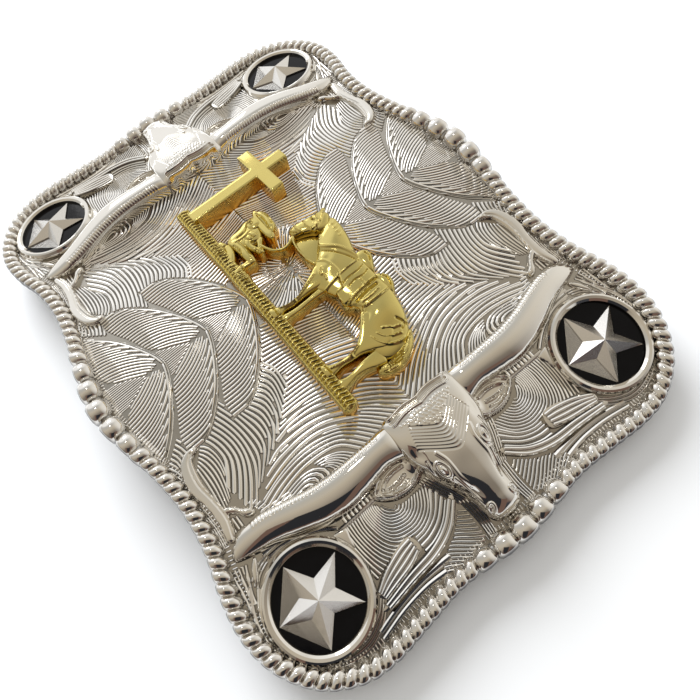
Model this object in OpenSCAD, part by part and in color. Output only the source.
/* [Plate] */
// Radius of the bend across the long side, measured to the front face
curve_r = 240; // [200:5:320]
// Thickness of the cast plate
plate_t = 1.8; // [1.6:0.1:2.4]
// Height of the front face above the surface it lies on, at the middle
crown_z = 11.6; // [11.4:0.1:12.4]
// Depth left between the plate's edge and the rope's centre line
edge_lip = 0.9; // [0.6:0.1:1.1]
// Clearance between separately cast pieces
fit_gap = 0.06; // [0.04:0.01:0.1]

/* [Rope edge] */
// Length of one rope rib along the edge
rib_pitch = 1.95; // [1.8:0.05:2.4]
// Half width of the rope
rope_half_w = 1.35; // [1.2:0.05:1.5]
// Height of the rope above the plate
rope_h = 2.3; // [1.8:0.1:2.6]
// Radius of the biggest bead
bead_r = 2.05; // [1.9:0.05:2.2]
// Slant of the ribs along the edge
rib_slant = 0.5; // [0:0.1:0.7]

/* [Relief] */
// Height of a leaf's tip above the plate
leaf_rise = 0.5; // [0.3:0.05:0.7]
// Slope of a leaf down to its root, in degrees
leaf_tilt = 2.2; // [1.5:0.1:3]
// Height of the polished scrolls above the plate
scroll_rise = 0.85; // [0.5:0.05:1.1]

/* [Medallions] */
// Distance of a medallion from the middle, along the long side
medal_x = 46; // [45:0.5:46.5]
// Distance of a medallion from the middle, along the short side
medal_y = 30.7; // [30:0.1:31]
// Radius of the enamel that shows inside the ring
enamel_r = 7.3; // [7:0.1:7.4]
// Width of the ring
ring_w = 1.5; // [1.3:0.1:1.7]
// Height of the ring above the plate
ring_h = 1.5; // [1.2:0.1:1.8]
// Height of a star's middle above the enamel
star_h = 2.2; // [1.6:0.1:2.6]
// Turn of each star away from straight down, in degrees
star_turn = 6; // [0:1:10]
// Gap between a star's tip and the ring
star_gap = 0.35; // [0.2:0.05:0.6]

/* [Longhorns] */
// Height of the heads above the plate
longhorn_h = 5; // [4:0.1:5.6]

/* [Gold scene] */
// Height of the cross above the plate
cross_h = 4.6; // [3.5:0.1:5]
// Width of the cross's bars
cross_bar = 2.8; // [2.4:0.1:3.2]
// Height of the horse's body above the plate
horse_h = 4.7; // [3.6:0.1:5]

/* [Back] */
// Radius of the wire of the belt loop
wire_r = 1.3; // [1.2:0.05:1.5]
// Clear width of the loop for the belt
loop_inside = 40; // [34:1:44]
// Distance of the loop's bar from the middle
loop_x = 29; // [26:1:31]
// Distance of the stud from the middle
stud_x = 38; // [35:1:39]
// Radius of the stud's shank
stud_r = 2; // [1.6:0.1:2.4]
// Radius of the stud's soldered foot
foot_r = 4.4; // [3.6:0.2:5]

/* [Hidden] */
SILVER = "#c9c6c2";
BRIGHT = "#dedcd8";
GOLD = "#e0c462";
BLACK = "#0c0c0e";
// Span of the cutting solids, wider than the buckle either way
span = 140;
// Height of the cutting solids, above and below the buckle
reach = 30;
// Sides of the big cylinders that give the bend
BEND_FN = 720;

// Rope centre line from the top middle to the right middle: x, y
EDGE = [[0, 41.9], [9, 40.6], [17, 39.0], [24, 38.4], [31, 39.1], [38, 41.0], [44, 41.6],
    [49.5, 40.3], [54.3, 36.9], [57.2, 32.0], [58.0, 27.0], [57.5, 20.0], [57.0, 13.5],
    [57.4, 7.0], [57.9, 0]];
// Beads beside the top and bottom middles: place along the edge, half length, half width, height
TOP_BEADS = [[4.3, 2.05, 2.0, 3.0], [8.4, 1.9, 1.8, 2.8], [11.6, 1.2, 1.55, 2.5]];
// Beads beside the left and right middles, counted back from the middle
SIDE_BEADS = [[3.9, 1.9, 1.95, 2.9], [7.7, 1.75, 1.75, 2.7]];
// The bead at each middle: half length, half width, height
MIDDLE_BEAD = [2.1, bead_r, 3.1];
// Sections across a bead: place along it, share of its size
BEAD_CUTS = [[-0.62, 0.84], [0, 1], [0.62, 0.84]];
// Share of a rib's size that is left in the notch between two ribs
notch = 0.62;
// Angles of the points across the rope, from its outer foot to its inner foot
ROPE_ANGLES = [0, 32, 62, 90, 118, 148, 180];

// Half of a leaf's outline: distance from its tip, half width
LEAF = [[0, 0], [0.55, 2.2], [1.9, 5.2], [3.6, 8.2], [5.6, 11.0], [7.9, 13.4], [10.2, 15.2],
    [12.2, 16.0]];
// Distance of each leaf's tip from the middle of the plate
LEAF_TIPS = [9.6, 18.8, 28.3];
// Where a leaf ends: its length at most, and the line inside the rope that it stays behind
leaf_len = 15;
leaf_end = 36.7;
// Upper scroll of one corner: x, y, half width
SCROLL_BAND = [[16.6, 33.8, 0.5], [18.2, 35.3, 1.0], [21.5, 35.9, 1.1], [25, 35.4, 0.8],
    [28.5, 35.2, 0.9], [31.4, 36.0, 0.5]];
// Bar scroll beside the ring: x, y, half width
SCROLL_BAR = [[51.3, 22.4, 0.6], [50.7, 19.5, 0.9], [50.2, 17, 1.0], [49.7, 14.6, 0.7]];
// Long scroll beside the rope: x, y, half width
SCROLL_EDGE = [[53.0, 22.6, 0.3], [52.6, 18, 0.45], [52.2, 13, 0.5], [51.0, 9, 0.5],
    [48.4, 6.0, 0.3]];

// Rows across one half of a longhorn: y, inner edge, outer edge, share of the height
LONGHORN = [[0, 33.7, 55.6, 1.04], [1.3, 33.4, 55.4, 1.03], [2.5, 33.2, 54.8, 1.0],
    [3.4, 33.1, 52.2, 0.98], [4.0, 33.1, 49.0, 0.97], [4.8, 33.2, 46.6, 0.96],
    [5.8, 33.6, 44.6, 0.95], [6.8, 34.2, 42.4, 0.94], [7.8, 34.6, 39.8, 0.92],
    [10.4, 34.8, 39.2, 0.92], [14.4, 34.9, 39.7, 0.9], [18.4, 34.8, 40.0, 0.88],
    [22.4, 34.2, 39.4, 0.84], [26.4, 33.1, 38.0, 0.78], [30.4, 32.2, 36.4, 0.7],
    [33.6, 32.1, 35.6, 0.6], [36.2, 32.7, 35.1, 0.48], [37.4, 33.5, 34.6, 0.32]];
// Rounded shoulder of a horn or head: distance in from its edge, share of the height
SHOULDER = [[0, 0.5], [0.45, 0.78], [1.1, 0.95]];
// Points between the shoulders of each row
ROW_STEPS = 3;
// Ear of a longhorn: x, y of its outline about its middle line, from root to tip
EAR = [[1.9, -5], [2.2, -2], [1.9, 1], [1.1, 3.2], [0, 4.8]];
ear_x = 41.6;
ear_y = 11.0;
ear_rise = 1.3;
ear_rim = 0.75;

// Cross: middle of the upright, foot, top, middle of the arm, reach of each arm
cross_x = -20.4;
cross_foot = -8.2;
cross_top = 14.5;
cross_arm_x = -19.9;
cross_arm_y = 8.45;
cross_arm = 6.6;
// Ground strip: ends, lower and upper edges, height
GROUND_X = [-23.2, 28.0];
GROUND_Y = [-10.1, -7.6];
ground_h = 3.2;
tuft_step = 2.0;
tuft_h = 4.0;
// Horse's parts, each a chain of posts: x, y, radius, share of the height
HORSE = [
    [[21.5, 4.6, 4.6, 1], [15.5, 5.0, 4.0, 0.98], [9.0, 5.4, 3.7, 0.98]],
    [[8.0, 6.0, 3.3, 0.98], [3.6, 8.2, 2.5, 0.95], [0.4, 9.6, 2.0, 0.92]],
    [[0.4, 9.6, 1.8, 0.92], [-2.2, 8.2, 1.7, 0.92], [-3.6, 4.9, 1.1, 0.85]],
    [[-2.6, 10.4, 0.8, 0.85], [-3.6, 12.0, 0.4, 0.7]],
    [[6.4, 3.0, 2.2, 0.95], [7.0, -2.4, 1.0, 0.85], [7.8, -4.6, 0.75, 0.8],
        [7.1, -8.2, 0.9, 0.75]],
    [[9.2, 2.0, 1.3, 0.7], [9.6, -4.6, 0.7, 0.65], [9.7, -8.2, 0.8, 0.65]],
    [[20.0, 2.4, 3.0, 0.95], [21.4, -2.2, 1.3, 0.85], [22.2, -4.4, 0.8, 0.8],
        [21.5, -8.2, 0.9, 0.75]],
    [[24.0, 1.6, 2.0, 0.8], [24.4, -3.6, 0.8, 0.7], [24.9, -8.2, 0.9, 0.65]],
    [[25.2, 7.0, 1.2, 0.85], [27.0, 3.0, 1.3, 0.8], [26.2, -0.8, 0.6, 0.7]],
    [[9.4, 9.6, 1.3, 1.02], [10.0, 10.8, 0.8, 0.95]],
    [[11.0, 9.0, 1.6, 1.04], [15.4, 9.6, 1.3, 1.04]]];
// Kneeling figure's parts, each a chain of posts: x, y, radius, share of the height
FIGURE = [
    [[-9.4, 0.4, 1.7, 0.9], [-10.6, 1.2, 1.5, 0.85]],
    [[-11.6, 1.2, 0.6, 0.75], [-7.4, 2.6, 0.6, 0.8]],
    [[-5.4, -0.4, 1.7, 0.95], [-4.4, -4.6, 1.9, 0.9]],
    [[-7.2, -1.2, 1.2, 0.9], [-5.4, -0.4, 1.5, 0.95]],
    [[-5.4, -4.4, 1.3, 0.85], [-9.4, -4.2, 1.0, 0.85], [-6.6, -8.2, 0.9, 0.8]],
    [[-4.0, -5.0, 1.5, 0.8], [-2.0, -8.0, 1.1, 0.75]],
    [[-6.6, -0.8, 0.8, 0.98], [-8.6, -3.0, 0.7, 0.95]],
    [[-4.6, 0.6, 0.8, 0.9], [-2.2, 2.4, 0.6, 0.85], [-2.0, 4.4, 0.5, 0.8]]];
// Sides of a post
POST_FN = 8;
// Depth of a post's root, and of a ring's skirt, below the plate's face before it is cut away
root_depth = 1;
// A post's rounded top: share of the height where it starts, share of the radius at its end
post_shoulder = 0.7;
post_crown = 0.5;
// Height of the enamel's face above the plate at the middle of a medallion
enamel_top = 0.45;
// Share of a star's tip radius at its inner corners, and the height of its upright rim
star_waist = 0.42;
star_rim = 0.25;
// A ring's section above the plate: share of the width in from outside, share of the height
RING = [[0, 0.55], [0.22, 0.9], [0.45, 1], [0.75, 0.93], [1, 0.7]];
// Share of the wire's radius at the middle of the loop's corners
loop_turn = 1.4;
// Height of the stud's foot and the chamfer at its end
foot_h = 1.3;
stud_chamfer = 0.5;

// Height of the plate's front face at a distance x from the middle
function front_z(x) = crown_z - curve_r + sqrt(curve_r * curve_r - x * x);
// Slope of the front face at x, in degrees
function front_tilt(x) = asin(x / curve_r);

// All four quarters of a closed line from its first quarter
function four_quarters(q) = concat(q,
    [for (i = [len(q) - 2:-1:0]) [q[i][0], -q[i][1]]],
    [for (i = [1:len(q) - 1]) [-q[i][0], -q[i][1]]],
    [for (i = [len(q) - 2:-1:1]) [-q[i][0], q[i][1]]]);
// A point of the smooth curve between b and c, t from 0 to 1
function curve_point(a, b, c, d, t) = 0.5 * (2 * b + (c - a) * t
    + (2 * a - 5 * b + 4 * c - d) * t * t + (3 * b - a - 3 * c + d) * t * t * t);
// A smooth closed line through points, in steps for each of them
function closed_curve(p, steps) = [for (i = [0:len(p) - 1], j = [0:steps - 1])
    curve_point(p[(i + len(p) - 1) % len(p)], p[i], p[(i + 1) % len(p)],
        p[(i + 2) % len(p)], j / steps)];
// A smooth open line through points
function open_curve(p, steps) = concat([for (i = [0:len(p) - 2], j = [0:steps - 1])
    curve_point(p[max(i - 1, 0)], p[i], p[i + 1], p[min(i + 2, len(p) - 1)], j / steps)],
    [p[len(p) - 1]]);
// Distance run along a line up to each of its points
function run_lengths(p) = [for (i = 0, s = 0; i < len(p);
    s = s + (i + 1 < len(p) ? norm(p[i + 1] - p[i]) : 0), i = i + 1) s];

edge_loop = closed_curve(four_quarters(EDGE), 6);
edge_line = concat(edge_loop, [edge_loop[0]]);
edge_runs = run_lengths(edge_line);
edge_len = edge_runs[len(edge_runs) - 1];
quarter_len = edge_len / 4;
edge_xs = [for (i = [0:len(edge_line) - 1]) [edge_runs[i], edge_line[i][0]]];
edge_ys = [for (i = [0:len(edge_line) - 1]) [edge_runs[i], edge_line[i][1]]];
// Point of the rope's centre line at a distance s along it
function edge_at(s) = let (t = (s + 2 * edge_len) % edge_len)
    [lookup(t, edge_xs), lookup(t, edge_ys)];
// Outward direction there; the line runs clockwise, seen from the front
function edge_out(s) = let (d = edge_at(s + 0.6) - edge_at(s - 0.6)) [-d[1], d[0]] / norm(d);

// Beads and ribs of one quarter, without the bead at each end of it
rib_from = TOP_BEADS[2][0] + TOP_BEADS[2][1];
rib_to = quarter_len - SIDE_BEADS[1][0] - SIDE_BEADS[1][1];
rib_count = round((rib_to - rib_from) / rib_pitch);
rib_step = (rib_to - rib_from) / rib_count;
quarter_bumps = concat(TOP_BEADS,
    [for (i = [0:rib_count - 1]) [rib_from + (i + 0.5) * rib_step, rib_step / 2, rope_half_w, rope_h]],
    [for (i = [len(SIDE_BEADS) - 1:-1:0]) let (b = SIDE_BEADS[i])
        [quarter_len - b[0], b[1], b[2], b[3]]]);
// One quarter's bumps set at quarter q, each second quarter run backwards
function bumps_of(q) = let (n = len(quarter_bumps)) [for (i = [0:n - 1])
    let (b = quarter_bumps[q % 2 == 0 ? i : n - 1 - i])
    [q * quarter_len + (q % 2 == 0 ? b[0] : quarter_len - b[0]), b[1], b[2], b[3]]];
bumps = [for (q = [0:3]) each concat([[q * quarter_len, each MIDDLE_BEAD]], bumps_of(q))];
// Sections of the rope: place along it, half width, height
rope_cuts = [for (b = bumps) each concat(
    [[b[0] - b[1], notch * min(b[2], 1.25 * rope_half_w), notch * min(b[3], 1.25 * rope_h)]],
    [for (c = b[1] > rib_pitch * 0.7 ? BEAD_CUTS : [[0, 1]])
        [b[0] + c[0] * b[1], c[1] * b[2], c[1] * b[3]]])];

// Cylinder across the buckle whose top is raised above the front face
module bend(raise, tilt = 0, tip = 0) {
    translate([0, tip, crown_z - curve_r + raise])
        rotate([90 - tilt, 0, 0])
            cylinder(r = curve_r, h = span, center = true, $fn = BEND_FN);
}

// Cylinder across the buckle at a given distance from the bend's own axis
module bend_at(radius) {
    translate([0, 0, crown_z - curve_r])
        rotate([90, 0, 0])
            cylinder(r = radius, h = span, center = true, $fn = BEND_FN);
}

// Relief of a flat outline, raised above the front face and rooted in the plate
module raised(rise) {
    intersection() {
        translate([0, 0, crown_z - reach / 2])
            linear_extrude(height = reach)
                children();
        difference() {
            bend_at(curve_r + rise);
            bend_at(curve_r - plate_t / 2);
        }
    }
}

// Band of changing width along a smooth line of [x, y, half width]
module band(points, steps = 4) {
    line = open_curve(points, steps);
    last = len(line) - 1;
    sides = [for (i = [0:last])
        let (d = line[min(i + 1, last)] - line[max(i - 1, 0)], n = [-d[1], d[0]] / norm([d[0], d[1]]))
        [[line[i][0] + n[0] * line[i][2], line[i][1] + n[1] * line[i][2]],
            [line[i][0] - n[0] * line[i][2], line[i][1] - n[1] * line[i][2]]]];
    polygon(concat([for (s = sides) s[0]], [for (i = [last:-1:0]) sides[i][1]]));
}

// One leaf that points to the middle, from its tip out to the rope, grown for a clearance
module leaf(tip, grow = 0) {
    side = open_curve(LEAF, 2);
    end = min(tip + leaf_len, leaf_end);
    half = [for (p = side) if (tip + p[0] < end)
        [p[1] > 0 ? p[1] + grow : 0, tip + p[0] - grow]];
    edge = half[len(half) - 1][0];
    intersection() {
        translate([0, 0, crown_z - plate_t / 2])
            linear_extrude(height = reach)
                polygon(concat(half, [[edge, end + grow], [-edge, end + grow]],
                    [for (i = [len(half) - 1:-1:1]) [-half[i][0], half[i][1]]]));
        bend(leaf_rise + grow, leaf_tilt, tip);
    }
}

module plate() {
    lip = [for (i = [0:len(edge_loop) / 3 - 1])
        let (s = edge_runs[3 * i]) edge_at(s) + edge_out(s) * edge_lip];
    color(SILVER) union() {
        intersection() {
            translate([0, 0, crown_z - reach])
                linear_extrude(height = 2 * reach)
                    polygon(lip);
            difference() {
                bend_at(curve_r);
                bend_at(curve_r - plate_t);
            }
        }
        for (side = [0, 1], tip = LEAF_TIPS)
            mirror([0, side, 0]) leaf(tip);
        for (left = [0, 1], low = [0, 1])
            mirror([left, 0, 0]) mirror([0, low, 0]) {
                raised(scroll_rise) band(SCROLL_BAND);
                raised(scroll_rise) band(SCROLL_BAR);
                raised(scroll_rise * 0.8) band(SCROLL_EDGE);
            }
    }
}

module rope_border() {
    across = len(ROPE_ANGLES);
    count = len(rope_cuts);
    points = [for (c = rope_cuts, a = ROPE_ANGLES)
        let (p = edge_at(c[0] + rib_slant * cos(a)) + edge_out(c[0]) * c[1] * cos(a))
        [p[0], p[1], front_z(p[0]) + fit_gap + c[2] * sin(a)]];
    faces = [for (i = [0:count - 1], j = [0:across - 1])
        let (n = (i + 1) % count, k = (j + 1) % across,
            a = i * across + j, b = i * across + k, c = n * across + k, d = n * across + j)
        each [[a, b, c], [a, c, d]]];
    color(BRIGHT) polyhedron(points, faces, convexity = 6);
}

// Height of a longhorn's top at [x, y], d in from its nearer edge
function longhorn_top(x, y, d, share) =
    let (forehead = 0.5 * exp(-pow((x - 38) / 5, 2) - pow(y / 5, 2)),
        nose = 0.9 * max(0, x - 50) / 6)
    (longhorn_h * share - nose + forehead) * lookup(d, SHOULDER);

module longhorn() {
    half = LONGHORN;
    rows = concat([for (i = [len(half) - 1:-1:1]) [-half[i][0], half[i][1], half[i][2], half[i][3]]], half);
    inset = len(SHOULDER);
    across = 2 * inset + ROW_STEPS;
    // Points of one row, from the inner edge to the outer one: x, distance in from the edge
    function row_xs(r) = let (w = r[2] - r[1], m = min(1, w / 2 / 1.6)) concat(
        [for (s = SHOULDER) [r[1] + s[0] * m, s[0]]],
        [for (k = [1:ROW_STEPS]) let (a = SHOULDER[inset - 1][0] * m)
            [r[1] + a + (w - 2 * a) * k / (ROW_STEPS + 1), 9]],
        [for (i = [inset - 1:-1:0]) [r[2] - SHOULDER[i][0] * m, SHOULDER[i][0]]]);
    points = [for (r = rows) each concat(
        [for (q = row_xs(r)) [q[0], r[0], front_z(q[0]) + longhorn_top(q[0], r[0], q[1], r[3])]],
        [for (i = [across - 1:-1:0]) let (x = row_xs(r)[i][0]) [x, r[0], front_z(x) + fit_gap]])];
    ring = 2 * across;
    last = len(rows) - 1;
    sides = [for (i = [0:last - 1], j = [0:ring - 1])
        let (k = (j + 1) % ring, a = i * ring + j, b = i * ring + k,
            c = (i + 1) * ring + k, d = (i + 1) * ring + j)
        each [[a, c, b], [a, d, c]]];
    // A row's end is closed by strips between its top and its foot
    function cap(i, turn) = [for (j = [0:across - 2])
        let (a = i * ring + j, b = a + 1, c = i * ring + ring - 2 - j, d = c + 1)
        each (turn ? [[a, b, c], [a, c, d]] : [[a, c, b], [a, d, c]])];
    polyhedron(points, concat(sides, cap(0, true), cap(last, false)), convexity = 6);
}

// Looped ear that lies on the plate and runs into the head
module ear() {
    side = open_curve(EAR, 3);
    outline = concat(side, [for (i = [len(side) - 2:-1:0]) [-side[i][0], side[i][1]]]);
    intersection() {
        translate([0, 0, crown_z - reach / 2])
            linear_extrude(height = reach)
                difference() {
                    translate([ear_x, ear_y]) polygon(outline);
                    translate([ear_x, ear_y]) scale((EAR[1][0] - ear_rim) / EAR[1][0]) polygon(outline);
                }
        difference() {
            bend_at(curve_r + ear_rise);
            bend_at(curve_r + 2 * fit_gap);
        }
    }
}

module longhorn_right() {
    color(BRIGHT) union() {
        longhorn();
        ear();
        mirror([0, 1, 0]) ear();
    }
}

module longhorn_left() {
    mirror([1, 0, 0]) longhorn_right();
}

// Stands its children on the plate at the middle of a medallion
module at_medal(left, low) {
    x = left ? -medal_x : medal_x;
    translate([x, low ? -medal_y : medal_y, front_z(x)])
        rotate([0, front_tilt(x), 0])
            children();
}

module ring(left, low) {
    outer = enamel_r + ring_w;
    color(BRIGHT) difference() {
        at_medal(left, low)
            rotate_extrude($fn = 128)
                polygon(concat([[enamel_r, -root_depth], [outer, -root_depth]],
                    [for (p = RING) [outer - ring_w * p[0], ring_h * p[1]]]));
        bend_at(curve_r + fit_gap);
    }
}

module enamel(left, low) {
    color(BLACK) at_medal(left, low)
        translate([0, 0, fit_gap])
            cylinder(r = enamel_r - fit_gap, h = enamel_top - fit_gap, $fn = 128);
}

module star(left, low) {
    floor_z = enamel_top + fit_gap;
    tip_r = enamel_r - star_gap;
    inner_r = tip_r * star_waist;
    first = -90 + (left && low ? star_turn : -star_turn);
    corners = [for (i = [0:9]) let (r = i % 2 == 0 ? tip_r : inner_r, a = first + 36 * i)
        [r * cos(a), r * sin(a)]];
    points = concat([for (c = corners) [c[0], c[1], floor_z]],
        [for (c = corners) [c[0], c[1], floor_z + star_rim]], [[0, 0, floor_z + star_h]]);
    faces = concat([[for (i = [0:9]) i]],
        [for (i = [0:9]) let (n = (i + 1) % 10) [i, i + 10, n + 10, n]],
        [for (i = [0:9]) let (n = (i + 1) % 10) [i + 10, 20, n + 10]]);
    color(BRIGHT) at_medal(left, low) polyhedron(points, faces);
}

// Post with a rounded top that stands in the plate
module post(p, top) {
    translate([p[0], p[1], front_z(p[0]) - root_depth]) {
        cylinder(r = p[2], h = root_depth + post_shoulder * p[3] * top, $fn = POST_FN);
        cylinder(r = p[2] * post_crown, h = root_depth + p[3] * top, $fn = POST_FN);
    }
}

// Chain of posts, each joined to the next
module limb(posts, top) {
    for (i = [0:len(posts) - 2])
        hull() {
            post(posts[i], top);
            post(posts[i + 1], top);
        }
}

module cross() {
    translate([cross_x, 0, front_z(cross_x)])
        rotate([0, front_tilt(cross_x), 0]) {
            translate([-cross_bar / 2, cross_foot, -root_depth])
                cube([cross_bar, cross_top - cross_foot, root_depth + cross_h]);
            translate([cross_arm_x - cross_x - cross_arm, cross_arm_y - cross_bar / 2, -root_depth])
                cube([2 * cross_arm, cross_bar, root_depth + cross_h]);
        }
}

module ground() {
    mid_y = (GROUND_Y[0] + GROUND_Y[1]) / 2;
    half = (GROUND_Y[1] - GROUND_Y[0]) / 2;
    pieces = 6;
    step = (GROUND_X[1] - GROUND_X[0]) / pieces;
    for (i = [0:pieces - 1])
        hull()
            for (x = [GROUND_X[0] + i * step, GROUND_X[0] + (i + 1) * step])
                translate([x - fit_gap, mid_y - half, front_z(x) - root_depth])
                    cube([2 * fit_gap, 2 * half, root_depth + ground_h]);
    for (x = [GROUND_X[0] + 1:tuft_step:GROUND_X[1] - 0.6])
        translate([x, mid_y, front_z(x)])
            scale([0.55, 1.5, 1])
                cylinder(r1 = 1.2, r2 = 0.5, h = tuft_h, $fn = 4);
}

module gold_scene() {
    color(GOLD) difference() {
        union() {
            cross();
            ground();
            for (chain = HORSE) limb(chain, horse_h);
            for (chain = FIGURE) limb(chain, horse_h);
        }
        bend_at(curve_r + fit_gap);
        for (side = [0, 1])
            mirror([0, side, 0]) leaf(LEAF_TIPS[0], fit_gap);
    }
}

// Space behind the plate that a back piece may fill
module behind_plate() {
    intersection() {
        translate([-span / 2, -span / 2, 0]) cube([span, span, crown_z]);
        bend_at(curve_r - plate_t - fit_gap);
    }
}

module belt_loop() {
    y = loop_inside / 2 + wire_r;
    turn = loop_turn * wire_r;
    color(SILVER) intersection() {
        translate([loop_x, 0, 0]) {
            translate([0, 0, wire_r]) rotate([90, 0, 0])
                cylinder(r = wire_r, h = 2 * (y - turn), center = true, $fn = 48);
            for (side = [0, 1]) mirror([0, side, 0]) {
                translate([0, y - turn, wire_r + turn]) rotate([90, 0, 90])
                    rotate([0, 0, 270]) rotate_extrude(angle = 90, $fn = 48)
                        translate([turn, 0]) circle(r = wire_r, $fn = 48);
                translate([0, y, wire_r + turn])
                    cylinder(r = wire_r, h = crown_z, $fn = 48);
            }
        }
        behind_plate();
    }
}

module hook_stud() {
    color(SILVER) intersection() {
        translate([-stud_x, 0, 0]) {
            cylinder(r1 = stud_r - stud_chamfer, r2 = stud_r, h = stud_chamfer, $fn = 64);
            translate([0, 0, stud_chamfer]) cylinder(r = stud_r, h = crown_z, $fn = 64);
            translate([0, 0, front_z(stud_x) - plate_t - foot_h])
                cylinder(r = foot_r, h = crown_z, $fn = 64);
        }
        behind_plate();
    }
}

plate();
rope_border();
longhorn_left();
longhorn_right();
ring(true, false);  // ring_top_left
ring(false, false);  // ring_top_right
ring(true, true);  // ring_bottom_left
ring(false, true);  // ring_bottom_right
enamel(true, false);  // enamel_top_left
enamel(false, false);  // enamel_top_right
enamel(true, true);  // enamel_bottom_left
enamel(false, true);  // enamel_bottom_right
star(true, false);  // star_top_left
star(false, false);  // star_top_right
star(true, true);  // star_bottom_left
star(false, true);  // star_bottom_right
gold_scene();
belt_loop();
hook_stud();
